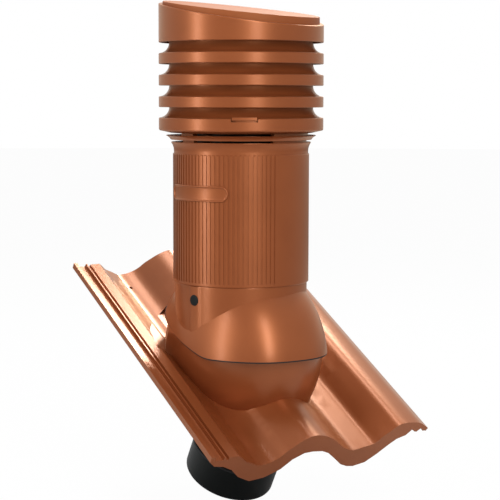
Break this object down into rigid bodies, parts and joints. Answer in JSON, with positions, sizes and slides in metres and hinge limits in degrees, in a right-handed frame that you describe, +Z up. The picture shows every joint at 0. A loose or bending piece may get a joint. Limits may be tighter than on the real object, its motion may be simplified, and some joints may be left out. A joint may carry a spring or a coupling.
{
  "type": "roof_tile_vent",
  "caption": "Upright louvred ventilation pipe on a tilting dome, set over a wavy roof tile with a black duct adapter below.",
  "frame": {"origin": "centre of the duct spigot's lower mouth, on the spigot's axis", "axes": "+Z up the vent pipe, the longest way; +X across the tile to the right seen from the eave; -Y towards the eave"},
  "size_m": [0.3369, 0.385, 0.6682],
  "materials": {
    "copper_brown": "satin",
    "black_plastic": "satin",
    "grey_foam": "matt foam",
    "black_rubber": "matt",
    "plain_steel": "plain"
  },
  "bodies": {
    "roof_side": {"tile_plate": "copper_brown", "duct_adapter": "black_plastic", "duct_gasket": "black_rubber", "spigot_lip_seal": "black_rubber", "adapter_screws": "plain_steel", "pivot_pins": "plain_steel"},
    "upright_side": {"tilt_dome": "copper_brown", "outer_sleeve": "copper_brown", "slotted_collar": "copper_brown", "cap_base_ring": "copper_brown", "latch_tab": "copper_brown", "louvre_ring_1": "copper_brown", "louvre_ring_2": "copper_brown", "louvre_ring_3": "copper_brown", "cap_hood": "copper_brown", "cap_lid": "copper_brown", "cap_core": "black_plastic", "rain_deflector": "black_plastic", "insect_guard": "black_plastic", "inner_pipe": "black_plastic", "insulation_sleeve": "grey_foam", "locking_plug": "black_plastic", "lid_screws": "plain_steel"}
  },
  "joints": [
    {"name": "dome_tilt", "type": "hinge", "parent": "roof_side", "child": "upright_side", "pos_m": [0.0061, -0.0235, 0.1641], "axis": [1, 0, 0], "range_deg": [-8, 8]}
  ]
}
